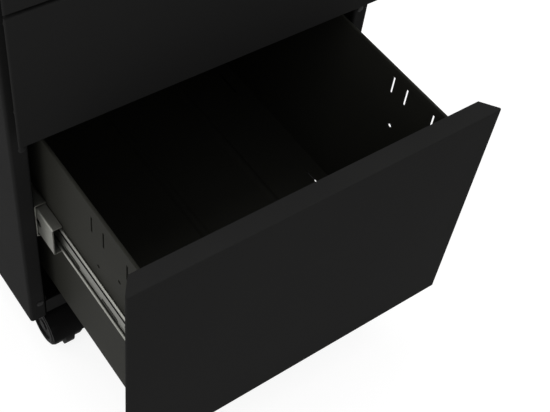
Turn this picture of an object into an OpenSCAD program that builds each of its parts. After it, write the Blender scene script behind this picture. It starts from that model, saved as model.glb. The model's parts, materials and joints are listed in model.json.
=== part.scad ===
// Mobile file cabinet in folded steel sheet: two box drawers over one filing drawer, on four castors.
// It stands on z = 0 with its front towards -Y. The filing drawer is drawn part open and the others shut.

/* [Cabinet] */
// Outside width of the cabinet
body_w = 390; // [360:1:460]
// Sheet thickness of the side panels, back and base
body_sheet = 1.2; // [0.8:0.1:1.8]
// Width of the front post folded from each side panel
post_w = 17.3; // [16:0.1:24]
// Depth of the lip behind each front post
post_lip = 12; // [8:0.5:12]
// Height of the top panel
top_h = 18; // [14:0.5:26]
// Height of the base underside above the floor
castor_h = 62; // [60:0.5:75]
// Width of the upright channels behind the posts
upright_w = 30; // [24:1:40]
// Height of the rail across the top of the front opening
rail_h = 10; // [8:0.5:11]
// Depth of that rail
rail_d = 22; // [18:1:30]
// Height of the upturned front edge of the base pan
pan_front_h = 22.6; // [18:0.5:26]
// Height of the upturned rear edge of the base pan
pan_rear_h = 14.6; // [12:0.5:20]
// Width of the ventilation slots in the back
vent_w = 93; // [60:1:160]

/* [Drawer fronts] */
// Height of the filing drawer front
file_front_h = 280; // [265:1:330]
// Height of each box drawer front
box_front_h = 138.5; // [130:0.5:170]
// Thickness of the drawer fronts
front_t = 18.6; // [15:0.1:24]
// How far each side of a front slants in behind its face, for the fingers
grip_bevel = 13.8; // [8:0.1:15]
// Sheet thickness of the drawer fronts
front_sheet = 1; // [0.8:0.1:1.6]
// Radius of the folded edges of the fronts
front_r = 1.6; // [1.2:0.1:3]
// Gap between one front and the next
front_gap = 3; // [2:0.5:5]
// Gap between the fronts and the front posts
post_gap = 1.6; // [1.2:0.1:3]

/* [Drawer boxes] */
// Distance of the filing drawer walls below the top of its front
file_wall_drop = 23; // [18:0.5:30]
// Distance of the box drawer walls below the top of their fronts
box_wall_drop = 28.5; // [28:0.5:34]
// How much longer the drawer boxes are than their slides
box_over = 16; // [10:1:30]
// Sheet thickness of the drawer boxes
drawer_sheet = 0.9; // [0.7:0.1:1.4]
// Width of the hem along the top of each drawer wall
hem_w = 3.2; // [2.6:0.1:5]
// Height of the filing drawer box above the bottom edge of its front
file_box_rise = 38; // [30:1:44]
// Height of a box drawer above the bottom edge of its front
box_box_rise = 14; // [10:1:20]
// How far the filing drawer stands open
rest_open = 167.5; // [0:0.5:330]

/* [File rail slots] */
// Height of a slot
slot_h = 20.3; // [12:0.1:26]
// Width of a slot
slot_w = 2.4; // [1.6:0.1:4]
// Distance of the slots below the top of the wall
slot_drop = 13.5; // [10:0.5:20]
// First slot behind the drawer front
slot_first = 29; // [20:1:40]
// Second slot behind the drawer front
slot_second = 67; // [55:1:75]
// Third slot behind the drawer front
slot_third = 86.5; // [80:0.5:110]
// Rear slot in front of the back of the drawer
slot_rear = 60; // [40:1:90]

/* [Ball bearing slides] */
// Side space between a drawer wall and its post
slide_gap = 12.7; // [12.4:0.1:14]
// Length of the slides, which the depth of the cabinet follows
slide_len = 450; // [440:1:600]
// Room behind the slides
slide_back = 48; // [44:1:120]
// Travel of the drawers
slide_travel = 400; // [340:1:400]
// Share of that travel which the intermediate members make
mid_share = 0.35; // [0.3:0.01:0.5]
// How much shorter the intermediate members are, at the front
mid_short = 29; // [10:1:40]
// Height of the cabinet member
slide_h = 45; // [43:0.5:50]
// Sheet thickness of the three members
slide_sheet = 1.2; // [1:0.1:1.3]
// Depth of the drawer member from the drawer wall
runner_d = 4; // [3:0.1:5]
// Diameter of the balls
ball_d = 2.4; // [2:0.1:2.6]
// Distance from ball to ball
ball_pitch = 24; // [18:1:40]
// Distance of the middle of the filing drawer slides below the top of its wall
file_slide_drop = 106; // [70:0.5:120]
// Distance of the middle of the box drawer slides below the top of their wall
box_slide_drop = 52; // [42:0.5:60]

/* [Castors] */
// Wheel diameter
wheel_d = 50; // [40:1:52]
// Width of one wheel
wheel_w = 12.5; // [11:0.5:17]
// Space between the two wheels of a castor
wheel_gap = 12; // [12:0.5:16]
// Distance of the axle from the swivel
castor_trail = 17; // [12:0.5:20]
// Side of the square castor plate
plate_side = 42; // [42:1:44]
// Distance of a castor swivel from the side of the body
castor_inset = 34.5; // [34.5:0.5:60]
// Distance of the front castor swivels behind the posts
castor_front = 30; // [28:1:60]
// Distance of the rear castor swivels from the back
castor_rear = 58; // [50:1:80]

/* [Lock] */
// Diameter of the lock barrel
barrel_d = 16; // [14:0.5:18]
// Distance of the lock from the side of the top drawer front
lock_side = 62; // [55:1:80]
// Distance of the lock below the top of its drawer front
lock_drop = 17; // [16:0.5:18]

/* [Hidden] */
$fn = 48;
eps = 0.01;
// least running gap between pieces that slide past each other
play = 0.3;
// bend radius of the body sheet, on the middle of its thickness
bend_r = 2.2;
// front ends of the slides behind the posts
slide_set = 2;
body_d = slide_set + slide_len + slide_back;
drawer_len = slide_len + box_over;
base_z = castor_h;
base_lift = 4;
file_z = base_z + base_lift;
mid_z = file_z + file_front_h + front_gap;
top_z = mid_z + box_front_h + front_gap;
cap_z = top_z + box_front_h + front_gap;
post_y = (rest_open + front_t + post_gap - body_d) / 2;
back_y = post_y + body_d;
post_x = body_w / 2 - post_w;
box_x = post_x - slide_gap;
// width over the sharp corners, so that the rounded face measures 2 mm less than the body
front_w = body_w - 2 + 2 * front_r * (1 / tan(atan2(front_t, grip_bevel) / 2) - 1);
// front wall of a drawer box, when its drawer is shut
shut_y = post_y - post_gap;
slide_y = post_y + slide_set;
file_wall_h = file_front_h - file_box_rise - file_wall_drop;
box_wall_h = box_front_h - box_box_rise - box_wall_drop;
file_box_z = file_z + file_box_rise;
file_slide_z = file_box_z + file_wall_h - file_slide_drop;
mid_box_z = mid_z + box_box_rise;
mid_slide_z = mid_box_z + box_wall_h - box_slide_drop;
top_box_z = top_z + box_box_rise;
top_slide_z = top_box_z + box_wall_h - box_slide_drop;
race = ball_d + 2 * play;
// middle of the inner and outer rows of balls, and the faces that they run on
outer_ball_z = slide_h / 2 - slide_sheet - race / 2;
mid_h = 2 * (outer_ball_z - race / 2);
inner_ball_z = mid_h / 2 - slide_sheet - race / 2;
runner_h = 2 * (inner_ball_z - race / 2);
// each cage moves halfway between its two members, and keeps 5 mm inside their ends over the whole travel
cage_end = 5;
outer_share = mid_share / 2;
inner_share = (1 + mid_share) / 2;
outer_start = outer_share * slide_travel + cage_end;
outer_len = slide_len - mid_share * slide_travel - 2 * cage_end;
inner_start = mid_short + (inner_share - mid_share) * slide_travel + cage_end;
inner_len = slide_len - (1 - inner_share) * slide_travel - inner_start - cage_end;
upright_y = post_y + post_lip + 2;
upright_rear_y = slide_y + slide_len - upright_w - 8;
lock_x = front_w / 2 - lock_side;
lock_z = top_z + box_front_h - lock_drop;
castor_x = body_w / 2 - castor_inset;
castor_front_y = post_y + castor_front;
castor_rear_y = back_y - castor_rear;
plate_t = 2.5;
pin_d = 7;
pin_h = 19;
axle_d = 6;
wheel_z = wheel_d / 2;
bolt_in = 9;
boss_d = 24;

coat_black = [0.11, 0.11, 0.11];
zinc = [0.62, 0.62, 0.58];
plastic_black = [0.06, 0.06, 0.06];
chrome = [0.75, 0.75, 0.76];

// Unit vector along v
function unit(v) = v / norm(v);

// Points of a bend of radius r at p, between its neighbours a and c
function bend(a, p, c, r, n = 5) =
    let (u = unit(a - p), w = unit(c - p), half = acos(u * w) / 2, m = unit(u + w),
         centre = p + m * r / sin(half),
         t1 = p + u * r / tan(half), t2 = p + w * r / tan(half),
         a1 = atan2(t1[1] - centre[1], t1[0] - centre[0]),
         a2 = atan2(t2[1] - centre[1], t2[0] - centre[0]),
         turn = (a2 - a1) > 180 ? a2 - a1 - 360 : (a2 - a1) < -180 ? a2 - a1 + 360 : a2 - a1)
    [for (k = [0:n]) centre + r * [cos(a1 + turn * k / n), sin(a1 + turn * k / n)]];

// A path with its inner corners rounded
function rounded(path, r) =
    concat([path[0]],
           [for (i = [1:len(path) - 2], q = bend(path[i - 1], path[i], path[i + 1], r)) q],
           [path[len(path) - 1]]);

// The side of a path at distance d, square to it
function beside(path, d) =
    [for (i = [0:len(path) - 1])
        let (a = path[max(i - 1, 0)], c = path[min(i + 1, len(path) - 1)], u = unit(c - a))
        path[i] + d * [-u[1], u[0]]];

// Flat outline of a sheet of thickness t folded along a path, which runs in the middle of the sheet
module folded(path, t, r = bend_r) {
    mid = rounded(path, r);
    left = beside(mid, t / 2);
    right = beside(mid, -t / 2);
    polygon(concat(left, [for (i = [len(right) - 1:-1:0]) right[i]]));
}

// An outline given in x and z, drawn out along Y from y0 to y1
module along_y(y0, y1) {
    translate([0, y1, 0]) rotate([90, 0, 0]) linear_extrude(y1 - y0) children();
}

// An outline given in y and z, drawn out along X from x0 to x1
module along_x(x0, x1) {
    translate([x0, 0, 0]) rotate([90, 0, 90]) linear_extrude(x1 - x0) children();
}

// A piece drawn for the right hand, put on the side named by s: 1 right, -1 left
module on_side(s) {
    if (s > 0) children();
    else mirror([1, 0, 0]) children();
}

// A rounded slot through a wall that faces X, seen in y and z
module slot_x(y, z, len, wide, x0, x1) {
    along_x(x0, x1) translate([y, z]) {
        square([len - wide, wide], center = true);
        for (e = [-1, 1]) translate([e * (len - wide) / 2, 0]) circle(d = wide, $fn = 24);
    }
}

// Side panel with its front post and lip folded from the same sheet
module side_panel(s) {
    t = body_sheet;
    x = body_w / 2 - t / 2;
    flange = 14;
    y0 = upright_y + upright_w + play;
    color(coat_black) on_side(s) {
        difference() {
            translate([0, 0, base_z]) linear_extrude(cap_z - base_z)
                folded([[post_x + t / 2, post_y + post_lip], [post_x + t / 2, post_y + t / 2],
                        [x, post_y + t / 2], [x, back_y - t / 2], [x - flange, back_y - t / 2]], t);
            // the post and its lip stop above the base pan
            translate([post_x - 1, post_y + t, base_z - 1]) cube([post_w - t - 1, post_lip, t + 1 + play]);
        }
        // flanges that rest on the base pan and carry the top
        for (z = [base_z + t, cap_z - t])
            translate([x - flange, y0, z]) cube([flange, upright_rear_y - play - y0, t]);
    }
}

// Back panel between the two side panels, with ventilation slots under the top
module back_panel() {
    t = body_sheet;
    w = body_w - 4 * bend_r;
    y = back_y - 2 * t;
    flange = 8;
    color(coat_black) difference() {
        union() {
            translate([-w / 2, y, base_z + play]) cube([w, t, cap_z - base_z - play]);
            translate([-w / 2 + 16, y - flange, cap_z - t]) cube([w - 32, flange + t / 2, t]);
        }
        for (k = [0:5]) translate([0, y - 1, cap_z - 60 - 9 * k]) rotate([-90, 0, 0])
            linear_extrude(t + 2) {
                square([vent_w - 3, 3], center = true);
                for (e = [-1, 1]) translate([(vent_w - 3) / 2 * e, 0]) circle(d = 3, $fn = 24);
            }
    }
}

// Base pan between the side panels, with upturned edges and stiffening beads
module base_pan() {
    t = body_sheet;
    w = body_w - 4 * bend_r;
    y0 = post_y + t + play;
    y1 = back_y - 2 * t - play;
    z = base_z + t / 2;
    color(coat_black) difference() {
        union() {
            along_x(-w / 2, w / 2)
                folded([[y0 + t / 2, base_z + pan_front_h], [y0 + t / 2, z],
                        [y1 - t / 2, z], [y1 - t / 2, base_z + pan_rear_h]], t);
            for (b = [-1, 0, 1]) translate([b * 62, 0, base_z + t / 2])
                along_y(y0 + 40, y1 - 40) bead(7, 2.4);
        }
        for (x = [-castor_x, castor_x], y = [castor_front_y, castor_rear_y])
            bolt_places(x, y) translate([0, 0, base_z - 1]) cylinder(d = 5.2, h = t + 2, $fn = 32);
        // the upturned edge stops short of both posts
        for (s = [-1, 1])
            translate([s * (post_x - 1 + post_w), y0 + post_lip / 2, base_z + t + pan_front_h / 2 + 1])
                cube([2 * post_w, post_lip + 6, pan_front_h + 2], center = true);
    }
}

// Section of a pressed bead, half its width w and standing h above the sheet
module bead(w, h) {
    r = (w * w + h * h) / (2 * h);
    intersection() {
        translate([0, h - r]) circle(r = r, $fn = 96);
        translate([-w, 0]) square([2 * w, h]);
    }
}

// The four bolts of one castor plate
module bolt_places(x, y) {
    off = plate_side / 2 - bolt_in;
    for (i = [-1, 1], j = [-1, 1]) translate([x + i * off, y + j * off, 0]) children();
}

// Top panel: a pan with rounded edges that covers the carcass and the tops of the fronts
module top_panel() {
    t = body_sheet;
    r = 2.4;
    y0 = shut_y - front_t;
    d = back_y - y0;
    ret = 14;
    color(coat_black) difference() {
        intersection() {
            translate([-body_w / 2, y0, cap_z]) linear_extrude(top_h) rounded_rect(body_w, d, r);
            along_x(-body_w / 2, body_w / 2)
                polygon(rounded([[y0 + d / 2, cap_z], [y0, cap_z], [y0, cap_z + top_h],
                                 [back_y, cap_z + top_h], [back_y, cap_z], [y0 + d / 2 + 1, cap_z]], r / 2));
            along_y(y0, back_y)
                polygon(rounded([[0, cap_z], [-body_w / 2, cap_z], [-body_w / 2, cap_z + top_h],
                                 [body_w / 2, cap_z + top_h], [body_w / 2, cap_z], [1, cap_z]], r / 2));
        }
        // hollow under the top, open below behind the fronts
        translate([-body_w / 2 + t, y0 + t, cap_z + t]) cube([body_w - 2 * t, d - 2 * t, top_h - 2 * t]);
        translate([-body_w / 2 + ret, y0 + front_t + ret + 6, cap_z - 1])
            cube([body_w - 2 * ret, d - front_t - 2 * ret - 6, 2 + t]);
    }
}

// Angle rail across the top of the front opening, which the lock cam turns up behind
module front_rail() {
    t = body_sheet;
    y = post_y + t / 2;
    z = cap_z - t / 2;
    color(coat_black) along_x(-post_x, post_x)
        folded([[y, cap_z - rail_h], [y, z], [post_y + rail_d, z]], t, 1.4);
}

// Front and rear upright channels on both sides, which carry the slides
module slide_uprights() {
    t = 1.5;
    out = body_w / 2 - body_sheet - play;
    z0 = base_z + 2 * body_sheet + play;
    z1 = cap_z - 2 * body_sheet - play;
    color(coat_black) for (s = [-1, 1], y = [upright_y, upright_rear_y]) on_side(s) difference() {
        translate([0, 0, z0]) linear_extrude(z1 - z0)
            folded([[out, y + t / 2], [post_x + t / 2, y + t / 2], [post_x + t / 2, y + upright_w - t / 2],
                    [out, y + upright_w - t / 2]], t, 2);
        for (z = [z0 + 20:32:z1 - 20]) slot_x(y + upright_w / 2, z, 12, 5, post_x - 1, post_x + t + 1);
    }
}

// Drawer box: floor, walls and hems folded from one sheet, with a front and a back wall let in.
// It is drawn with the front of its front wall at y = 0 and its underside at z = 0.
module drawer_box(h, slots) {
    t = drawer_sheet;
    x = box_x - t / 2;
    hem_in = x - hem_w + t;
    hem_z = h - t / 2;
    hem_h = 7;
    rear_z = h - 9;
    rear_y = drawer_len - t / 2;
    color(coat_black) difference() {
        union() {
            along_y(0, drawer_len)
                folded([[-hem_in, hem_z - hem_h], [-hem_in, hem_z], [-x, hem_z], [-x, t / 2],
                        [x, t / 2], [x, hem_z], [hem_in, hem_z], [hem_in, hem_z - hem_h]], t, 0.9);
            // front and back walls, with a small hem at the top of the back one
            for (y = [0, drawer_len - t]) translate([-x, y, t / 2]) cube([2 * x, t, rear_z]);
            along_x(-hem_in + t, hem_in - t)
                folded([[rear_y, rear_z], [rear_y - 6, rear_z], [rear_y - 6, rear_z - 6]], t, 0.9);
            // stiffening beads pressed up from the floor
            for (b = [-1, 0, 1]) translate([b * box_x * 0.55, 0, t / 2])
                along_y(50, drawer_len - 50) bead(6, 2.6);
        }
        if (slots) {
            for (y = [slot_first, slot_second, slot_third, drawer_len - slot_rear])
                translate([-box_x - 1, y - slot_w / 2, h - slot_drop - slot_h])
                    cube([2 * box_x + 2, slot_w, slot_h]);
            for (p = [[41.5, 52], [77, 72]]) translate([-box_x - 1, p[0], h - p[1]]) rotate([0, 90, 0])
                cylinder(d = 4.2, h = 2 * box_x + 2, $fn = 32);
            // narrow slots in the floor along both walls
            for (s = [-1, 1], y = [146, drawer_len - 146]) translate([s * (box_x - 17.5), y, 0])
                cube([1.8, 34, 4], center = true);
        }
    }
}

// Plan of a drawer front with slanting sides, w wide in front, t deep
module front_plan(w, t, bevel, r) {
    path = [[-w / 2 + bevel, t], [-w / 2, 0], [w / 2, 0], [w / 2 - bevel, t]];
    polygon(rounded(path, r));
}

// Solid in the shape of a drawer front, with its face at y = 0 and rounded edges round the face
module front_solid(w, h, t, bevel, r) {
    intersection() {
        linear_extrude(h) front_plan(w, t, bevel, r);
        along_x(-w / 2, w / 2) polygon(rounded([[t, 0], [0, 0], [0, h], [t, h]], r));
    }
}

// Outer skin of a drawer front: a pan folded back on all four sides and open behind
module front_skin(h, lock = false) {
    t = front_sheet;
    color(coat_black) difference() {
        front_solid(front_w, h, front_t, grip_bevel, front_r);
        translate([0, t, t])
            front_solid(front_w - 2.6 * t, h - 2 * t, front_t, grip_bevel, front_r - t / 2);
        if (lock) translate([lock_x, -1, h - lock_drop]) rotate([-90, 0, 0])
            cylinder(d = barrel_d + 0.2, h = 4);
    }
}

// Liner: the back plate of a drawer front, let into its skin and fixed to the drawer box
module front_liner(h, lock = false) {
    t = front_sheet;
    w = front_w - 2 * grip_bevel - 2 * t - 1.6;
    y = front_t - 8;
    color(coat_black) difference() {
        along_x(-w / 2, w / 2)
            folded([[y, t + play + t / 2], [front_t - t / 2, t + play + t / 2],
                    [front_t - t / 2, h - t - play - t / 2], [y, h - t - play - t / 2]], t, 1.2);
        if (lock) translate([lock_x, 0, h - lock_drop]) rotate([-90, 0, 0])
            cylinder(d = barrel_d + 5, h = front_t + 1);
    }
}

// Cabinet member of a slide, drawn for the right side with its middle at z = 0 and its front end at y = 0
module cabinet_member() {
    t = slide_sheet;
    x1 = post_x - t / 2;
    x0 = box_x + 1;
    z = slide_h / 2 - t / 2;
    color(zinc) difference() {
        along_y(0, slide_len)
            folded([[x0, z - 0.8], [x0 + 1.8, z], [x1, z], [x1, -z], [x0 + 1.8, -z], [x0, 0.8 - z]], t, 1.1);
        for (y = [upright_y - slide_y, upright_rear_y - slide_y], k = [0.3, 0.7])
            slot_x(y + k * upright_w, 0, 7, 4.6, post_x - 2 * t, post_x + 1);
        for (y = [90:50:slide_len - 80]) slot_x(y, 6, 26, 4, post_x - 2 * t, post_x + 1);
    }
}

// Intermediate member of a slide, which wraps round the drawer member. Its front end is set back.
module intermediate_member() {
    t = slide_sheet;
    x1 = post_x - t - 0.6 - t / 2;
    x0 = box_x + 0.7;
    z = mid_h / 2 - t / 2;
    color(zinc) difference() {
        along_y(mid_short, slide_len) folded([[x0, z], [x1, z], [x1, -z], [x0, -z]], t, 1.1);
        for (y = [mid_short + 40:74:slide_len - 40]) slot_x(y, 0, 34, 9, x1 - t, x1 + t);
    }
}

// Drawer member of a slide, flat on the right drawer wall and open towards the intermediate member
module drawer_member() {
    t = slide_sheet;
    x0 = box_x + t / 2;
    x1 = box_x + runner_d;
    z = runner_h / 2 - t / 2;
    color(zinc) difference() {
        along_y(0, slide_len) folded([[x1, z], [x0, z], [x0, -z], [x1, -z]], t, 0.9);
        for (y = [53.3:67:slide_len - 30]) slot_x(y, -8.3, 28.5, 5, box_x - 1, box_x + 2 * t);
        for (y = [26, slide_len / 2 - 6, slide_len - 14]) translate([box_x - 1, y, -1]) rotate([0, 90, 0])
            cylinder(d = 4.2, h = 2 * t + 1, $fn = 32);
    }
}

// Ball cage of one race pair, long enough for its two rows of balls, which a folded strip holds
module ball_cage(ball_x, ball_z, x0, x1, long) {
    strip = 0.8;
    rows = floor((long - 12) / ball_pitch);
    color(zinc) {
        translate([x1 - 0.5, 0, -ball_z - strip / 2]) cube([0.5, long, 2 * ball_z + strip]);
        for (s = [-1, 1]) translate([x0, 0, s * ball_z - strip / 2]) cube([x1 - x0, long, strip]);
        for (s = [-1, 1], k = [0:rows])
            translate([ball_x, long / 2 + (k - rows / 2) * ball_pitch, s * ball_z])
                sphere(d = ball_d, $fn = 24);
    }
}

// Pieces of the slides of one drawer, at height z and with the drawer open by d
module cabinet_member_at(s, z) { on_side(s) translate([0, slide_y, z]) cabinet_member(); }
module intermediate_member_at(s, z, d) {
    on_side(s) translate([0, slide_y - mid_share * d, z]) intermediate_member();
}
module drawer_member_at(s, z, d) { on_side(s) translate([0, slide_y - d, z]) drawer_member(); }
module outer_cages_at(z, d) {
    x1 = post_x - slide_sheet - 0.05;
    for (s = [-1, 1]) on_side(s) translate([0, slide_y + outer_start - outer_share * d, z])
        ball_cage(box_x + 4.6, outer_ball_z, box_x + 2.9, x1, outer_len);
}
module inner_cages_at(z, d) {
    x1 = post_x - 2 * slide_sheet - 0.6 - play;
    for (s = [-1, 1]) on_side(s) translate([0, slide_y + inner_start - inner_share * d, z])
        ball_cage(box_x + 1.9, inner_ball_z, box_x + 0.7, x1, inner_len);
}

// Rectangle with rounded corners, from the origin
module rounded_rect(w, d, r) {
    translate([r, 0]) square([w - 2 * r, d]);
    translate([0, r]) square([w, d - 2 * r]);
    for (x = [r, w - r], y = [r, d - r]) translate([x, y]) circle(r = r, $fn = 32);
}

// Castor plate with its swivel pin, the underside of the base at z = castor_h
module castor_plate() {
    color(zinc) {
        difference() {
            translate([0, 0, castor_h - plate_t / 2]) cube([plate_side, plate_side, plate_t], center = true);
            bolt_places(0, 0) translate([0, 0, castor_h - plate_t - 1])
                cylinder(d = 5.2, h = plate_t + 2, $fn = 32);
        }
        translate([0, 0, castor_h - plate_t - 1.2]) cylinder(d = boss_d, h = 1.2 + eps);
        translate([0, 0, castor_h - plate_t - pin_h]) cylinder(d = pin_d, h = pin_h);
    }
}

// Castor hood: swivel boss, web between the wheels and a guard over them
module castor_hood() {
    r_in = wheel_d / 2 + 1.4;
    r_out = r_in + 2.4;
    w = 2 * wheel_w + wheel_gap;
    top = castor_h - plate_t - 1.2 - play;
    color(plastic_black) difference() {
        union() {
            // boss round the swivel pin
            translate([0, 0, top - 19]) cylinder(d = 18, h = 19);
            translate([0, 0, top - 3]) cylinder(d = boss_d, h = 3);
            // web between the wheels
            translate([-(wheel_gap - 2) / 2, castor_trail, wheel_z]) rotate([0, 90, 0])
                cylinder(r = r_out - eps, h = wheel_gap - 2);
            // guard over both wheels
            translate([-w / 2, castor_trail, wheel_z]) rotate([0, 90, 0]) difference() {
                cylinder(r = r_out, h = w);
                translate([0, 0, -1]) cylinder(r = r_in, h = w + 2);
                translate([-4, -40, -1]) cube([60, 80, w + 2]);
            }
        }
        // below the swivel the web is cut to a disc clear of the floor
        translate([-20, castor_trail - 40, -10]) cube([40, 80, 16]);
        translate([0, 0, top - 22]) cylinder(d = pin_d + 0.14, h = 24);
        translate([-20, castor_trail, wheel_z]) rotate([0, 90, 0]) cylinder(d = axle_d, h = 40);
        // room for the wheels
        for (s = [-1, 1]) translate([s * (wheel_gap / 2 - 0.6), castor_trail, wheel_z]) rotate([0, 90 * s, 0])
            cylinder(r = r_in, h = wheel_w + 2);
    }
}

// Axle of one castor, pressed into its hood
module castor_axle() {
    color(zinc) translate([-wheel_gap / 2 - wheel_w + 3, castor_trail, wheel_z]) rotate([0, 90, 0])
        cylinder(d = axle_d, h = wheel_gap + 2 * wheel_w - 6);
}

// The two wheels of one castor
module castor_wheels() {
    r = wheel_d / 2;
    color(plastic_black) for (s = [-1, 1])
        translate([s * wheel_gap / 2, castor_trail, wheel_z]) rotate([0, 90 * s, 0])
        rotate_extrude($fn = 96) difference() {
            polygon([[axle_d / 2 + 0.07, 0], [r - 1.5, 0], [r, 1.5], [r, wheel_w - 4],
                     [r - 1.2, wheel_w - 1.4], [r - 4, wheel_w], [r - 8, wheel_w], [r - 9, wheel_w - 2],
                     [axle_d / 2 + 4, wheel_w - 2],
                     [axle_d / 2 + 3, wheel_w - 0.6], [0, wheel_w - 0.6], [0, wheel_w - 2.6],
                     [axle_d / 2 + 0.07, wheel_w - 2.6]]);
            // groove between the tread and the disc
            translate([r - 5, -1]) square([1.2, 3]);
        }
}

// One castor at its swivel place, with its wheels turned to the front
module at_castor(x, y) { translate([x, y, 0]) rotate(180) children(); }

// Bolts through the base and the castor plates
module castor_bolts() {
    color(zinc) for (x = [-castor_x, castor_x], y = [castor_front_y, castor_rear_y]) bolt_places(x, y) {
        translate([0, 0, castor_h - plate_t]) cylinder(d = 5, h = plate_t + body_sheet + 3, $fn = 32);
        translate([0, 0, castor_h - plate_t - 2]) cylinder(d1 = 6, d2 = 9, h = 2, $fn = 32);
        translate([0, 0, castor_h + body_sheet]) cylinder(d = 8, h = 3, $fn = 6);
    }
}

// Lock barrel through the top drawer front, with its collar
module lock_barrel() {
    y = shut_y - front_t;
    color(chrome) translate([lock_x, y, lock_z]) rotate([-90, 0, 0]) difference() {
        union() {
            cylinder(d = barrel_d, h = front_t + 4);
            translate([0, 0, -1.6]) cylinder(d1 = barrel_d + 3, d2 = barrel_d + 5, h = 1.6);
            translate([0, 0, front_sheet]) cylinder(d = barrel_d + 4, h = 3, $fn = 6);
        }
        translate([0, 0, -2]) cylinder(d = barrel_d - 4 + 0.14, h = front_t + 7);
    }
}

// Lock plug that turns in the barrel, with its keyway
module lock_plug() {
    y = shut_y - front_t;
    color(chrome) translate([lock_x, y, lock_z]) rotate([-90, 0, 0]) difference() {
        translate([0, 0, -1.2]) cylinder(d = barrel_d - 4, h = front_t + 5.2 + 1.2);
        translate([-0.8, -3.6, -2]) cube([1.6, 7.2, front_t]);
    }
}

// Cam on the back of the plug, drawn unlocked
module lock_cam() {
    y = shut_y + 5.2;
    tip = 12.5;
    color(zinc) translate([lock_x, y, lock_z]) rotate([-90, 0, 0]) difference() {
        union() {
            cylinder(d = 15, h = 2);
            translate([-tip, -5, 0]) cube([tip, 10, 2]);
            translate([-tip, 0, 0]) cylinder(d = 10, h = 2);
        }
        translate([-tip, 0, -1]) cylinder(d = 3.2, h = 4, $fn = 32);
    }
}

// A whole drawer is drawn at the place of its shut front wall, moved forward by d
module at_drawer(z, d) { translate([0, shut_y - d, z]) children(); }
module front_at(z, d) { translate([0, shut_y - d - front_t, z]) children(); }

side_panel(-1);  // left_side_panel
side_panel(1);  // right_side_panel
back_panel();
base_pan();
top_panel();
front_rail();
slide_uprights();

at_drawer(top_box_z, 0) drawer_box(box_wall_h, false);  // top_drawer_box
front_at(top_z, 0) front_skin(box_front_h, true);  // top_drawer_front
front_at(top_z, 0) front_liner(box_front_h, true);  // top_drawer_liner
at_drawer(mid_box_z, 0) drawer_box(box_wall_h, false);  // middle_drawer_box
front_at(mid_z, 0) front_skin(box_front_h);  // middle_drawer_front
front_at(mid_z, 0) front_liner(box_front_h);  // middle_drawer_liner
at_drawer(file_box_z, rest_open) drawer_box(file_wall_h, true);  // file_drawer_box
front_at(file_z, rest_open) front_skin(file_front_h);  // file_drawer_front
front_at(file_z, rest_open) front_liner(file_front_h);  // file_drawer_liner

cabinet_member_at(-1, top_slide_z);  // top_left_cabinet_member
cabinet_member_at(1, top_slide_z);  // top_right_cabinet_member
intermediate_member_at(-1, top_slide_z, 0);  // top_left_intermediate_member
intermediate_member_at(1, top_slide_z, 0);  // top_right_intermediate_member
drawer_member_at(-1, top_slide_z, 0);  // top_left_drawer_member
drawer_member_at(1, top_slide_z, 0);  // top_right_drawer_member
outer_cages_at(top_slide_z, 0);  // top_outer_ball_cages
inner_cages_at(top_slide_z, 0);  // top_inner_ball_cages
cabinet_member_at(-1, mid_slide_z);  // middle_left_cabinet_member
cabinet_member_at(1, mid_slide_z);  // middle_right_cabinet_member
intermediate_member_at(-1, mid_slide_z, 0);  // middle_left_intermediate_member
intermediate_member_at(1, mid_slide_z, 0);  // middle_right_intermediate_member
drawer_member_at(-1, mid_slide_z, 0);  // middle_left_drawer_member
drawer_member_at(1, mid_slide_z, 0);  // middle_right_drawer_member
outer_cages_at(mid_slide_z, 0);  // middle_outer_ball_cages
inner_cages_at(mid_slide_z, 0);  // middle_inner_ball_cages
cabinet_member_at(-1, file_slide_z);  // file_left_cabinet_member
cabinet_member_at(1, file_slide_z);  // file_right_cabinet_member
intermediate_member_at(-1, file_slide_z, rest_open);  // file_left_intermediate_member
intermediate_member_at(1, file_slide_z, rest_open);  // file_right_intermediate_member
drawer_member_at(-1, file_slide_z, rest_open);  // file_left_drawer_member
drawer_member_at(1, file_slide_z, rest_open);  // file_right_drawer_member
outer_cages_at(file_slide_z, rest_open);  // file_outer_ball_cages
inner_cages_at(file_slide_z, rest_open);  // file_inner_ball_cages

at_castor(-castor_x, castor_front_y) castor_plate();  // front_left_castor_plate
at_castor(-castor_x, castor_front_y) castor_hood();  // front_left_castor_hood
at_castor(-castor_x, castor_front_y) castor_axle();  // front_left_castor_axle
at_castor(-castor_x, castor_front_y) castor_wheels();  // front_left_castor_wheels
at_castor(castor_x, castor_front_y) castor_plate();  // front_right_castor_plate
at_castor(castor_x, castor_front_y) castor_hood();  // front_right_castor_hood
at_castor(castor_x, castor_front_y) castor_axle();  // front_right_castor_axle
at_castor(castor_x, castor_front_y) castor_wheels();  // front_right_castor_wheels
at_castor(-castor_x, castor_rear_y) castor_plate();  // rear_left_castor_plate
at_castor(-castor_x, castor_rear_y) castor_hood();  // rear_left_castor_hood
at_castor(-castor_x, castor_rear_y) castor_axle();  // rear_left_castor_axle
at_castor(-castor_x, castor_rear_y) castor_wheels();  // rear_left_castor_wheels
at_castor(castor_x, castor_rear_y) castor_plate();  // rear_right_castor_plate
at_castor(castor_x, castor_rear_y) castor_hood();  // rear_right_castor_hood
at_castor(castor_x, castor_rear_y) castor_axle();  // rear_right_castor_axle
at_castor(castor_x, castor_rear_y) castor_wheels();  // rear_right_castor_wheels
castor_bolts();

lock_barrel();
lock_plug();
lock_cam();
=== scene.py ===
import json
import math
import bmesh
import bpy
import numpy as np
from mathutils import Matrix, Vector


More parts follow.
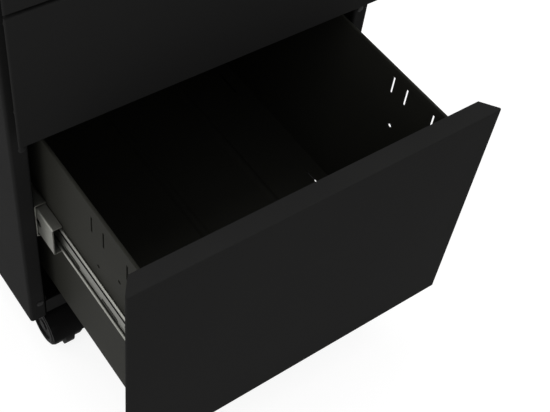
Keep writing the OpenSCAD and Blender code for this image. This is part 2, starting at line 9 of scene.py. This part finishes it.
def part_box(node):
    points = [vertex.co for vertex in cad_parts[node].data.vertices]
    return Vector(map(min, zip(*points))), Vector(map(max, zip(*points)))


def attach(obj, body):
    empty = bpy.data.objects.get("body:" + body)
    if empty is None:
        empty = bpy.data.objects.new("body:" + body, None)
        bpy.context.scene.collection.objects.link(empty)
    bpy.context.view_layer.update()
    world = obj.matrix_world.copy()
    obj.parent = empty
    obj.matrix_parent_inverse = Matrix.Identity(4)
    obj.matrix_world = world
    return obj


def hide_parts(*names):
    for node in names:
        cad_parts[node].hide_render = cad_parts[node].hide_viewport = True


# Mobile file cabinet: finishes, small fittings, light and camera, all in metres
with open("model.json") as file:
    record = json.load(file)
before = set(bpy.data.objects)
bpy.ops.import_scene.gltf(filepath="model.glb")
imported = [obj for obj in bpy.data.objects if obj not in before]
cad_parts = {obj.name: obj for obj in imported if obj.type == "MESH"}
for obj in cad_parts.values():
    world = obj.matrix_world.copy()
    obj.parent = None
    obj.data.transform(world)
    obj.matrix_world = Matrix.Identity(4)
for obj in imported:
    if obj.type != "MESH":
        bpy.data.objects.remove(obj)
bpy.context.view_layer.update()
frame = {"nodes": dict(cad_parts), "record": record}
nodes = frame["nodes"]
print("cabinet loaded:", len(nodes), "nodes")


class Val:
    # one shader socket that takes part in sums like a number
    def __init__(self, finish, socket):
        self.finish, self.socket = finish, socket

    def calc(self, operation, other=None, swap=False, clamp=False):
        pair = [self] if other is None else ([other, self] if swap else [self, other])
        return self.finish.node("ShaderNodeMath", {"operation": operation, "use_clamp": clamp},
                                dict(enumerate(pair)))

    def __add__(self, other):
        return self.calc("ADD", other)

    def __radd__(self, other):
        return self.calc("ADD", other, swap=True)

    def __sub__(self, other):
        return self.calc("SUBTRACT", other)

    def __rsub__(self, other):
        return self.calc("SUBTRACT", other, swap=True)

    def __mul__(self, other):
        return self.calc("MULTIPLY", other)

    def __rmul__(self, other):
        return self.calc("MULTIPLY", other, swap=True)

    def clamped(self):
        return self.calc("ADD", 0.0, clamp=True)

    # 0 below low, 1 above high, smooth between
    def ramp(self, low, high):
        return self.finish.node("ShaderNodeMapRange", {"interpolation_type": "SMOOTHSTEP"},
                                {"Value": self, "From Min": low, "From Max": high})


class Finish:
    # a material whose nodes are made by one method
    def __init__(self, name):
        self.material = bpy.data.materials.new(name)
        self.material.use_nodes = True
        self.tree = self.material.node_tree
        self.tree.nodes.clear()
        self.end = self.tree.nodes.new("ShaderNodeOutputMaterial")

    def plug(self, socket, value):
        if isinstance(value, Val):
            self.tree.links.new(value.socket, socket)
        else:
            socket.default_value = value

    def node(self, kind, settings=None, inputs=None, out=0):
        made = self.tree.nodes.new(kind)
        for key, value in (settings or {}).items():
            setattr(made, key, value)
        for key, value in (inputs or {}).items():
            self.plug(made.inputs[key], value)
        return Val(self, made.outputs[out])

    def place(self):
        return self.node("ShaderNodeTexCoord", out="Object")

    def noise(self, scale, detail=2.0, rough=0.5, stretch=(1, 1, 1)):
        where = self.node("ShaderNodeMapping", None, {"Vector": self.place(), "Scale": stretch})
        return self.node("ShaderNodeTexNoise", None,
                         {"Vector": where, "Scale": scale, "Detail": detail, "Roughness": rough})

    def blend(self, factor, first, second):
        return self.node("ShaderNodeMix", {"data_type": "RGBA"}, {0: factor, 6: first, 7: second}, out=2)

    def upward(self):
        normal = self.node("ShaderNodeNewGeometry", out="Normal")
        return self.node("ShaderNodeSeparateXYZ", None, {0: normal}, out=2)

    def bump(self, height, strength, distance):
        return self.node("ShaderNodeBump", None, {"Strength": strength, "Distance": distance, "Height": height})

    def surface(self, inputs):
        self.tree.links.new(self.node("ShaderNodeBsdfPrincipled", None, inputs).socket, self.end.inputs[0])
        return self.material


# A grey that turns olive as warm rises
def grey(level, warm=0.0):
    return (level, level, level * (1 - warm), 1)


# A Size is a pattern's number of cells in a metre, a Share how strongly it mixes in, and a Matt how far it
# moves the roughness
powderCoat = {"colour": 0.0178, "warm": 0.01, "roughness": 0.6, "specular": 0.003,
              "dust": 0.032, "dustWarm": 0.04, "dustShare": 0.14, "speckShare": 0.05,
              "grainSize": 1500, "peelSize": 420, "cloudSize": 9, "speckSize": 620,
              "cloudMatt": 0.12, "grainMatt": 0.1, "bump": 0.5, "depth": 0.00011}
sheetCoat = {**powderCoat, "colour": 0.022, "warm": 0.15, "roughness": 0.52, "specular": 0.015}
zincPlate = {"dark": 0.2, "light": 0.34, "warm": 0.09, "roughness": 0.5,
             "lineSize": 240, "lineStretch": (9, 0.35, 9), "cloudSize": 38, "spotSize": 310,
             "lineMatt": 0.16, "spotMatt": 0.12, "bump": 0.25, "depth": 0.00006}
# Race zinc: its darkest colour is painted shade, and its brightest is both burnish and painted highlight
raceZinc = {**zincPlate, "dark": 0.15, "light": 0.24, "burnishedHighlight": 0.36, "shadeBlack": 0.004, "specular": 0.05,
            "cloudSize": 55, "wearSize": 420, "wearShare": 0.12, "lineMatt": 0.14, "polishGloss": 0.08,
            "depth": 0.00005}
nylon = {"colour": 0.006, "scuffed": 3.2, "scuffShare": 0.4, "roughness": 0.5, "specular": 0.02,
         "grainSize": 900, "scuffSize": 95, "scuffMatt": 0.2, "grainMatt": 0.1, "bump": 0.4, "depth": 0.00006}
rubber = {**nylon, "colour": 0.009, "roughness": 0.7, "specular": 0.2, "grainSize": 1200, "depth": 0.00004}
nickel = {"colour": 0.62, "worn": 0.86, "roughness": 0.14, "wearSize": 420, "wearMatt": 0.14,
          "bump": 0.15, "depth": 0.00003}


# Black powder coat: fine orange peel, slow changes of sheen and a trace of dust on what faces up
def coatFinish(name, size):
    finish = Finish(name)
    grain = finish.noise(size["grainSize"], 2.0, 0.6)
    peel = finish.noise(size["peelSize"], 1.0, 0.4)
    cloud = finish.noise(size["cloudSize"], 3.0, 0.55)
    speck = finish.noise(size["speckSize"], 1.0, 0.5).ramp(0.66, 0.74)
    settled = finish.upward().ramp(0.7, 1.0) * cloud.ramp(0.35, 0.8) * size["dustShare"]
    dust = settled + speck * size["speckShare"]
    cleanAndUnshaded, dusty = grey(size["colour"], size["warm"]), grey(size["dust"], size["dustWarm"])
    return finish.surface({
        "Base Color": finish.blend(dust, cleanAndUnshaded, dusty),
        "Roughness": size["roughness"] + (cloud - 0.5) * size["cloudMatt"] + (grain - 0.5) * size["grainMatt"],
        "Specular IOR Level": size["specular"],
        "Normal": finish.bump(grain * 0.6 + peel * 0.9, size["bump"], size["depth"])})


# Zinc plate: rolled sheet with long fine lines, cloudy passivation and darker spots
def zincFinish(name, size):
    finish = Finish(name)
    lines = finish.noise(size["lineSize"], 3.0, 0.6, size["lineStretch"])
    cloud = finish.noise(size["cloudSize"], 4.0, 0.62)
    spot = finish.noise(size["spotSize"], 2.0, 0.5).ramp(0.62, 0.78)
    tone = (cloud * 0.75 + lines * 0.4 - spot * 0.3).clamped()
    return finish.surface({
        "Base Color": finish.blend(tone, grey(size["dark"], size["warm"]), grey(size["light"], size["warm"])),
        "Metallic": 1.0,
        "Roughness": size["roughness"] + (lines - 0.5) * size["lineMatt"] + spot * size["spotMatt"],
        "Normal": finish.bump(lines + cloud * 0.5, size["bump"], size["depth"])})


# Black moulded nylon or rubber: fine spark-eroded grain, scuffed a little paler here and there
def nylonFinish(name, size):
    finish = Finish(name)
    grain = finish.noise(size["grainSize"], 2.0, 0.55)
    scuff = finish.noise(size["scuffSize"], 4.0, 0.7).ramp(0.58, 0.8)
    paler = grey(size["colour"] * size["scuffed"])
    return finish.surface({
        "Base Color": finish.blend(scuff * size["scuffShare"], grey(size["colour"]), paler),
        "Roughness": size["roughness"] + scuff * size["scuffMatt"] + (grain - 0.5) * size["grainMatt"],
        "Specular IOR Level": size["specular"],
        "Normal": finish.bump(grain, size["bump"], size["depth"])})


# Nickel plate with fine turning marks and light wear
def nickelFinish(name, size):
    finish = Finish(name)
    wear = finish.noise(size["wearSize"], 3.0, 0.6)
    worn = grey(size["colour"] * size["worn"], 0.02)
    return finish.surface({
        "Base Color": finish.blend(wear, worn, grey(size["colour"], 0.01)),
        "Metallic": 1.0,
        "Roughness": size["roughness"] + wear.ramp(0.45, 0.75) * size["wearMatt"],
        "Normal": finish.bump(wear, size["bump"], size["depth"])})


# Zinc of the ball races: bright on the top race, both the balls' burnished track and a painted highlight, and
# on the bottom flange's upper face, a painted highlight; black painted shade on lips, in corners and under the
# top flange.
# The piece's polish attribute runs from 0, painted shade, over 0.5, plain, to 1, burnished with a painted
# highlight.
def raceFinish(name, size):
    finish = Finish(name)
    lines = finish.noise(size["lineSize"], 3.0, 0.6, size["lineStretch"])
    cloud = finish.noise(size["cloudSize"], 4.0, 0.62)
    wear = finish.noise(size["wearSize"], 2.0, 0.5)
    storedShading = finish.node("ShaderNodeAttribute", {"attribute_name": "polishAndShade"}, out=2)
    polishAndShade = storedShading + (wear - 0.5) * size["wearShare"]
    # Above 0.5 the zinc brightens with burnish and painted highlight; below 0.42 it turns black with painted
    # shade and loses its metal
    burnishAndHighlight = polishAndShade.ramp(0.5, 0.95)
    cleanAndUnshaded = polishAndShade.ramp(0.08, 0.42)
    plain = finish.blend((cloud * 0.7 + lines * 0.4).clamped(), grey(size["dark"], size["warm"]),
                         grey(size["light"], size["warm"]))
    burnishedAndLitZinc = finish.blend(burnishAndHighlight, plain, grey(size["burnishedHighlight"], size["warm"]))
    return finish.surface({
        "Base Color": finish.blend(cleanAndUnshaded, grey(size["shadeBlack"]), burnishedAndLitZinc),
        "Metallic": cleanAndUnshaded,
        "Roughness": size["roughness"] + (lines - 0.5) * size["lineMatt"] - burnishAndHighlight * size["polishGloss"],
        "Specular IOR Level": size["specular"],
        "Normal": finish.bump(lines + cloud * 0.5, size["bump"], size["depth"])})


coat = coatFinish("blackPowderCoat", powderCoat)
boxCoat = coatFinish("blackSheetCoat", sheetCoat)
zinc = zincFinish("zincPlate", zincPlate)
racesWithPaintedLight = raceFinish("zincWithPaintedLight", raceZinc)
blackNylon = nylonFinish("blackNylon", nylon)
plated = nickelFinish("nickelPlate", nickel)
pad = nylonFinish("blackRubber", rubber)
finishOf = {"coated_steel": coat, "zinc_plate": zinc, "black_plastic": blackNylon, "lock_chrome": plated}
slotOf = {part["node"]: part["material_slot"] for part in frame["record"]["subparts"]}
# The drawer boxes' coat is a little paler than the rest
for nodeName, shape in nodes.items():
    for holder in shape.material_slots:
        holder.material = boxCoat if nodeName.endswith("drawer_box") else finishOf[slotOf[nodeName]]
print("finishes set on", len(nodes), "nodes")


touching = 1e-6  # metres: points this close are one
sharpFrom = 40  # degrees: edges that bend more than this stay sharp


# Makes a piece of points and four-sided faces, merges what meets and turns its faces outwards
def addPiece(name, points, faces, material, body, polishAndShade=None):
    mesh = bpy.data.meshes.new(name)
    mesh.from_pydata(points.tolist(), [], faces.tolist())
    mesh.materials.append(material)
    if polishAndShade is not None:
        mesh.attributes.new("polishAndShade", "FLOAT", "POINT").data.foreach_set("value", polishAndShade.astype(np.float32))
    work = bmesh.new()
    work.from_mesh(mesh)
    bmesh.ops.remove_doubles(work, verts=work.verts, dist=touching)
    bmesh.ops.recalc_face_normals(work, faces=work.faces)
    work.to_mesh(mesh)
    work.free()
    mesh.shade_smooth()
    mesh.set_sharp_from_angle(angle=math.radians(sharpFrom))
    piece = bpy.data.objects.new(name, mesh)
    bpy.context.scene.collection.objects.link(piece)
    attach(piece, body)
    return piece


# Joins grids of points, each (rows, columns, 3), into one piece. Columns close on themselves.
def meshFromGrids(name, grids, material, body):
    points, faces, first = [], [], 0
    for grid in grids:
        rows, columns = grid.shape[:2]
        index = np.arange(rows * columns).reshape(rows, columns) + first
        after = np.roll(index, -1, axis=1)
        quads = np.stack([index[:-1], after[:-1], after[1:], index[1:]], axis=-1).reshape(-1, 4)
        points.append(grid.reshape(-1, 3))
        faces.append(quads)
        first += rows * columns
    return addPiece(name, np.concatenate(points), np.concatenate(faces), material, body)


# Turns a grid built round +Z at the origin so that +Z lies along axis, and moves it to place
def stand(grid, place, axis):
    turn = np.array(Vector((0, 0, 1)).rotation_difference(Vector(axis)).to_matrix())
    return grid @ turn.T + np.array(place)


# A screw head is a dome with a rounded rim over a flat underside. Its height falls as the square of the
# radius, less a cross cut whose depth fades over its edges.
def screwHead(place, axis, size):
    rings = np.concatenate([np.linspace(0.0, size["domeTo"], 15), [1.0, 1.0, 0.0]])[:, None]
    turn = np.linspace(0, 2 * np.pi, 40, endpoint=False)[None, :]
    x, y = rings * np.cos(turn), rings * np.sin(turn)
    arm = 1 / (1 + np.exp((np.minimum(abs(x), abs(y)) - size["armHalf"]) * size["armFade"]))
    reach = 1 / (1 + np.exp((np.hypot(x, y) - size["armLong"]) * size["endFade"]))
    height = size["height"] * (1 - size["fall"] * rings ** 2) - size["cross"] * arm * reach
    height[-3] = size["height"] * size["rim"]
    height[-2:] = 0
    radius = size["radius"]
    return stand(np.stack([x * radius, y * radius, height], axis=-1), place, axis)


# A round pad is a low dome: its height falls as the fourth power of the radius
def roundPad(place, axis, size):
    rings = np.concatenate([np.linspace(0, 1, 9), [1.0, 0.0]])[:, None]
    turn = np.linspace(0, 2 * np.pi, 32, endpoint=False)[None, :]
    height = size["height"] * (1 - size["fall"] * rings ** 4) + 0 * turn
    height[-2:] = 0
    radius = size["radius"]
    return stand(np.stack([rings * np.cos(turn) * radius, rings * np.sin(turn) * radius, height], axis=-1),
                 place, axis)


def low(node):
    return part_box(node)[0]


def high(node):
    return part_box(node)[1]


# A line through points with its corners rounded: each corner is a parabola between two points at the same
# distance from it
def bentLine(points, cut, steps):
    points = np.array(points, float)
    corner = points[1:-1]

    def towards(end):
        return corner + cut * (end - corner) / np.linalg.norm(end - corner, axis=1, keepdims=True)
    t = np.linspace(0, 1, steps)[None, :, None]
    arcs = (1 - t) ** 2 * towards(points[:-2])[:, None] + 2 * t * (1 - t) * corner[:, None] \
        + t ** 2 * towards(points[2:])[:, None]
    return np.concatenate([points[:1], arcs.reshape(-1, 2), points[-1:]])


# The drawer member. grooveAt, lip and the start of the bottom flange's painted highlight count from the drawer
# wall, race down from the top edge, below down from the middle, first and along from the front end. The web is
# plain between strips of painted shade under the top flange and over the bottom one.
runner = {"sheet": 0.0012, "bend": 0.00068, "grooveAt": 0.0032, "groove": 0.0013, "lip": 0.0037, "race": 0.0022,
          "webRows": (0.0105, 0.0069, 0.0061), "webEnd": 0.0117, "slack": 0.0001,
          "cleanAndUnshaded": (-0.0112, 0.0065), "litFrom": 0.0023,
          # Of these polish values, 0 is painted shade, 0.3 painted shade under the top flange, 0.68 a painted
          # highlight on the bottom flange's upper face and 1 the top race's burnish with a painted highlight
          "polishAndShade": {"paintedShade": 0.0, "plain": 0.5, "shadedUnderside": 0.3, "litUpside": 0.68, "race": 1.0, "outside": 0.4},
          "slots": {"first": 0.0533, "step": 0.067, "endClear": 0.03,
                    "straight": 0.0235, "radius": 0.0025, "below": 0.0083},
          "holes": {"along": (0.026, 0.219, 0.436), "rowAt": 0.7, "radius": 0.0021, "below": 0.001}}


# Section of a drawer member, as distance from the drawer wall and height over its middle: a web with two
# flanges, each bent in to a groove and out again to its lip, and half a sheet's thickness to either side of
# that line. The polish of both sides comes with it: painted shade on the lips, in the web's corners and under
# the top flange, and a painted highlight on the bottom flange's upper face and, with the burnish, on the top
# race.
def runnerSection(tall, size):
    half, web = size["sheet"] / 2, size["sheet"] / 2
    top = tall / 2 - half
    flange = bentLine([(size["lip"], top), (size["grooveAt"], top - size["groove"]), (web, top), (web, 0)],
                      size["bend"], 7)[:-1]
    slots, holes = size["slots"], size["holes"]
    wave = np.cos(np.linspace(0, np.pi, 9))
    heights = np.concatenate([size["webRows"], wave * holes["radius"] - holes["below"],
                              wave * slots["radius"] - slots["below"], [-size["webEnd"]]])
    middle = np.stack([np.full(len(heights), web), heights], axis=1)
    line = np.concatenate([flange, middle, flange[::-1] * (1, -1)])
    along = np.gradient(line, axis=0)
    normal = np.stack([along[:, 1], -along[:, 0]], axis=1) / np.linalg.norm(along, axis=1, keepdims=True)
    inside, outside = line - normal * half, line + normal * half
    onLip = line[:, 0] > size["grooveAt"] - 2 * size["slack"]
    onWeb = line[:, 0] < web + size["slack"]
    cleanAndUnshaded = (line[:, 1] > size["cleanAndUnshaded"][0]) & (line[:, 1] < size["cleanAndUnshaded"][1])
    # Painted shade on the lips, in the web's corners and under the top flange; painted highlight on the bottom
    # flange's upper face and on the top race
    polishAndShade = size["polishAndShade"]
    paintedShade = polishAndShade["paintedShade"]
    webShading = np.where(cleanAndUnshaded, polishAndShade["plain"], paintedShade)
    topFlangeShading = np.where(onLip, paintedShade, polishAndShade["shadedUnderside"])
    bottomFlangeShading = np.where(line[:, 0] > size["litFrom"], polishAndShade["litUpside"], paintedShade)
    shadingIn = np.where(onWeb, webShading, np.where(line[:, 1] > 0, topFlangeShading, bottomFlangeShading))
    onRace = np.where(onLip, paintedShade, polishAndShade["race"])
    shadingOut = np.where(line[:, 1] > top - size["race"], onRace, polishAndShade["outside"])
    return inside, outside, shadingIn, shadingOut


# Carries the section along y. Each slot or hole is two rows of the grid that bow apart as a circle does, and
# the cells between them are left out, with a wall round the edge from face to face.
def makeRunner(drawer, side, size):
    node = f"{drawer}_{side}_drawer_member"
    bottom, top = low(node), high(node)
    sign = -1 if side == "left" else 1
    wall = top[0] if sign < 0 else bottom[0]
    long = top[1] - bottom[1]
    inside, outside, shadingIn, shadingOut = runnerSection(top[2] - bottom[2], size)
    count = len(inside)
    slots, holes = size["slots"], size["holes"]
    cuts = [(y, slots["straight"] / 2, slots["radius"], -slots["below"])
            for y in np.arange(slots["first"], long - slots["endClear"], slots["step"])]
    cuts += [(y, 0.0, holes["radius"], -holes["below"]) for y in holes["along"]]
    cuts.sort()
    ends = [0.0]
    for y, half, radius, _ in cuts:
        reach = half if half else holes["rowAt"] * radius
        ends += [y - reach, y + reach]
    ends.append(long)
    rowY = np.repeat(np.array(ends)[:, None], count, axis=1)
    loop = np.concatenate([inside, outside[::-1]])
    rows, columns = len(ends), 2 * count
    index = np.arange(rows * columns).reshape(rows, columns)
    face, back = index[:, :count], index[:, :count - 1:-1]
    keep = np.ones((rows - 1, columns), bool)

    def edge(row, start, stop):
        return np.stack([face[row, start:stop], face[row, start + 1:stop + 1],
                         back[row, start + 1:stop + 1], back[row, start:stop]], axis=-1)
    walls = [edge(row, 0, count - 1) for row in (0, rows - 1)]
    for order, (y, half, radius, height) in enumerate(cuts):
        near = 2 * order + 1
        inCut = np.where((abs(inside[:, 1] - height) < radius + touching) & (inside[:, 0] < size["grooveAt"])
                         & (abs(inside[:, 1]) < size["webEnd"]))[0]
        a, b = inCut[0], inCut[-1]
        bow = half + np.sqrt(np.maximum(radius ** 2 - (inside[a:b + 1, 1] - height) ** 2, 0))
        rowY[near, a:b + 1], rowY[near + 1, a:b + 1] = y - bow, y + bow
        keep[near, a:b] = False
        keep[near, columns - 1 - b:columns - 1 - a] = False
        walls += [edge(near, a, b), edge(near + 1, a, b)]
        for c in (a, b):
            walls.append(np.array([[face[near, c], face[near + 1, c], back[near + 1, c], back[near, c]]]))
    after = np.roll(index, -1, axis=1)
    quads = np.stack([index[:-1], after[:-1], after[1:], index[1:]], axis=-1)[keep]
    grid = np.empty((rows, columns, 3))
    grid[..., 0] = wall + sign * loop[None, :, 0]
    grid[..., 1] = bottom[1] + np.concatenate([rowY, rowY[:, ::-1]], axis=1)
    grid[..., 2] = (bottom[2] + top[2]) / 2 + loop[None, :, 1]
    # Each point's painted shade and highlight, with the top race's burnish, goes into the polish attribute
    polishAndShade = np.tile(np.concatenate([shadingIn, shadingOut[::-1]]), rows)
    faces = np.concatenate([quads] + walls)
    piece = addPiece(f"{drawer}_{side}_member_painted_light", grid.reshape(-1, 3), faces, racesWithPaintedLight, f"{drawer}_drawer",
                     polishAndShade)
    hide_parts(node)


# From domeTo on, a screw's values are shares of its radius or height, and a Fade is how steeply the cut ends
panScrew = {"radius": 0.0034, "height": 0.0017, "cross": 0.0011, "domeTo": 0.93, "fall": 0.42, "rim": 0.42,
            "armHalf": 0.13, "armLong": 0.55, "armFade": 60, "endFade": 40}
backScrews = {"inset": 0.0068, "heights": [0.09, 0.21, 0.33, 0.45, 0.57, 0.62]}
slideScrews = {"along": [0.219, 0.436], "below": 0.001}
linerScrews = {"side": 0.118, "low": 0.016, "high": 0.018, "boxSheet": 0.0009}
bumpers = {"radius": 0.0036, "height": 0.0013, "fall": 0.5, "fromEnd": 0.022, "inFromPost": 0.006}


def makeBackScrews(where):
    face = high("right_side_panel")[1]
    side = high("right_side_panel")[0] - where["inset"]
    heads = [screwHead((s * side, face, z), (0, 1, 0), panScrew) for s in (-1, 1) for z in where["heights"]]
    meshFromGrids("back_screws", heads, coat, "carcass")


# Two screws hold each drawer member to the drawer wall, on the web inside the channel
def makeSlideScrews(drawer, where):
    heads = []
    for side, sign in (("left", -1), ("right", 1)):
        member = f"{drawer}_{side}_drawer_member"
        bottom, top = low(member), high(member)
        web = (top[0] if sign < 0 else bottom[0]) + sign * runner["sheet"]
        middle = (bottom[2] + top[2]) / 2 - where["below"]
        heads += [screwHead((web, bottom[1] + y, middle), (sign, 0, 0), panScrew) for y in where["along"]]
    meshFromGrids(f"{drawer}_slide_screws", heads, zinc, f"{drawer}_drawer")


# Four screws pull the liner against the front wall of the drawer box, from inside the drawer
def makeLinerScrews(drawer, where):
    node = f"{drawer}_drawer_box"
    bottom, top = low(node), high(node)
    heads = [screwHead((s * where["side"], bottom[1] + where["boxSheet"], z), (0, 1, 0), panScrew)
             for s in (-1, 1) for z in (bottom[2] + where["low"], top[2] - where["high"])]
    meshFromGrids(f"{drawer}_liner_screws", heads, zinc, f"{drawer}_drawer")


# Rubber pads on the posts, where the backs of the fronts come to rest
def makeBumpers(where):
    post = low("right_side_panel")
    side = post[0] + where["inFromPost"]
    pads = []
    for drawer in ("top", "middle", "file"):
        bottom, top = low(f"{drawer}_drawer_front")[2], high(f"{drawer}_drawer_front")[2]
        pads += [roundPad((s * side, post[1], z), (0, -1, 0), where)
                 for s in (-1, 1) for z in (bottom + where["fromEnd"], top - where["fromEnd"])]
    meshFromGrids("post_bumpers", pads, pad, "carcass")


makeBackScrews(backScrews)
makeBumpers(bumpers)
for drawer in ("top", "middle", "file"):
    for side in ("left", "right"):
        makeRunner(drawer, side, runner)
    makeSlideScrews(drawer, slideScrews)
    makeLinerScrews(drawer, linerScrews)
print("small fittings made")

# Floor, even light from all round and four lamps
studio = {"floorHalf": 9.0, "floorColour": 0.85, "floorGlow": 0.87, "floorShade": 0.22, "ambient": 0.62,
          "aim": (0, -0.1, 0.3),
          "over": {"place": (0.3, 0.6, 3.2), "size": 2.4, "power": 46},
          "left": {"place": (-2.4, -0.1, 0.3), "size": 1.0, "power": 7},
          "back": {"place": (-1.9, 2.4, 0.9), "size": 1.4, "power": 20},
          "key": {"place": (-2.3, -1.0, 2.4), "size": 1.6, "power": 10}}


# Pale paper to the lamps' light, and nearly white to the camera except where the cabinet shades it
def makeFloor(size):
    finish = Finish("floorPaper")
    ray = finish.node("ShaderNodeLightPath", out="Is Camera Ray")
    gloss = finish.node("ShaderNodeLightPath", out="Is Glossy Ray")
    through = finish.node("ShaderNodeLightPath", out="Is Transmission Ray")
    paper = finish.node("ShaderNodeBsdfDiffuse", None, {"Color": grey(size["floorColour"])})
    shade = finish.node("ShaderNodeBsdfDiffuse", None, {"Color": grey(size["floorShade"])})
    glow = finish.node("ShaderNodeEmission", None, {"Color": grey(1.0), "Strength": size["floorGlow"]})
    white = finish.node("ShaderNodeAddShader", None, {0: shade, 1: glow})
    mixed = finish.node("ShaderNodeMixShader", None, {0: (ray + gloss + through).clamped(), 1: paper, 2: white})
    finish.tree.links.new(mixed.socket, finish.end.inputs[0])
    half = size["floorHalf"]
    mesh = bpy.data.meshes.new("floor")
    corners = [(-half, -half, 0), (half, -half, 0), (half, half, 0), (-half, half, 0)]
    mesh.from_pydata(corners, [], [(0, 1, 2, 3)])
    mesh.materials.append(finish.material)
    floor = bpy.data.objects.new("floor", mesh)
    bpy.context.scene.collection.objects.link(floor)


def makeLamp(name, lamp, target):
    light = bpy.data.lights.new(name, "AREA")
    light.shape = "DISK"
    light.size = lamp["size"]
    light.energy = lamp["power"]
    holder = bpy.data.objects.new(name, light)
    holder.location = lamp["place"]
    aim = Vector(target) - Vector(lamp["place"])
    holder.rotation_euler = aim.to_track_quat("-Z", "Y").to_euler()
    bpy.context.scene.collection.objects.link(holder)


# White to the camera and in mirrors, dimmer as light
def makeWorld(size):
    world = bpy.data.worlds.new("studio")
    bpy.context.scene.world = world
    world.use_nodes = True
    tree = world.node_tree
    tree.nodes.clear()
    path = tree.nodes.new("ShaderNodeLightPath")
    seen = tree.nodes.new("ShaderNodeMath")
    seen.operation = "MAXIMUM"
    either = tree.nodes.new("ShaderNodeMath")
    either.operation = "MAXIMUM"
    tree.links.new(path.outputs["Is Camera Ray"], seen.inputs[0])
    tree.links.new(path.outputs["Is Glossy Ray"], seen.inputs[1])
    tree.links.new(seen.outputs[0], either.inputs[0])
    tree.links.new(path.outputs["Is Transmission Ray"], either.inputs[1])
    dim = tree.nodes.new("ShaderNodeBackground")
    dim.inputs["Strength"].default_value = size["ambient"]
    white = tree.nodes.new("ShaderNodeBackground")
    white.inputs["Strength"].default_value = 1.0
    for ground in (dim, white):
        ground.inputs["Color"].default_value = grey(1.0)
    mixed = tree.nodes.new("ShaderNodeMixShader")
    tree.links.new(either.outputs[0], mixed.inputs[0])
    tree.links.new(dim.outputs[0], mixed.inputs[1])
    tree.links.new(white.outputs[0], mixed.inputs[2])
    end = tree.nodes.new("ShaderNodeOutputWorld")
    tree.links.new(mixed.outputs[0], end.inputs[0])


makeFloor(studio)
makeWorld(studio)
for lampName in ("over", "left", "back", "key"):
    makeLamp(lampName + "Lamp", studio[lampName], studio["aim"])
print("floor, world and lamps set")

# Camera fitted to the photograph: focal length in pixels of a picture 550 wide
view = {"place": (-0.4174, -0.72235, 1.0133), "forward": (0.4313, 0.4583, -0.7771),
        "right": (0.8079, -0.5796, 0.1065), "focal": 1066.0, "width": 550.0,
        "sensor": 36.0, "nearest": 0.01}


def makeCamera(size):
    lens = bpy.data.cameras.new("camera")
    lens.sensor_width = size["sensor"]
    lens.sensor_fit = "HORIZONTAL"
    lens.lens = size["focal"] / size["width"] * size["sensor"]
    lens.clip_start = size["nearest"]
    ahead = Vector(size["forward"]).normalized()
    right = Vector(size["right"])
    right = (right - ahead * right.dot(ahead)).normalized()
    up = right.cross(ahead)
    holder = bpy.data.objects.new("camera", lens)
    holder.matrix_world = Matrix.Translation(size["place"]) @ Matrix((right, up, -ahead)).transposed().to_4x4()
    bpy.context.scene.collection.objects.link(holder)
    bpy.context.scene.camera = holder


makeCamera(view)
bpy.context.scene.view_settings.view_transform = "Standard"
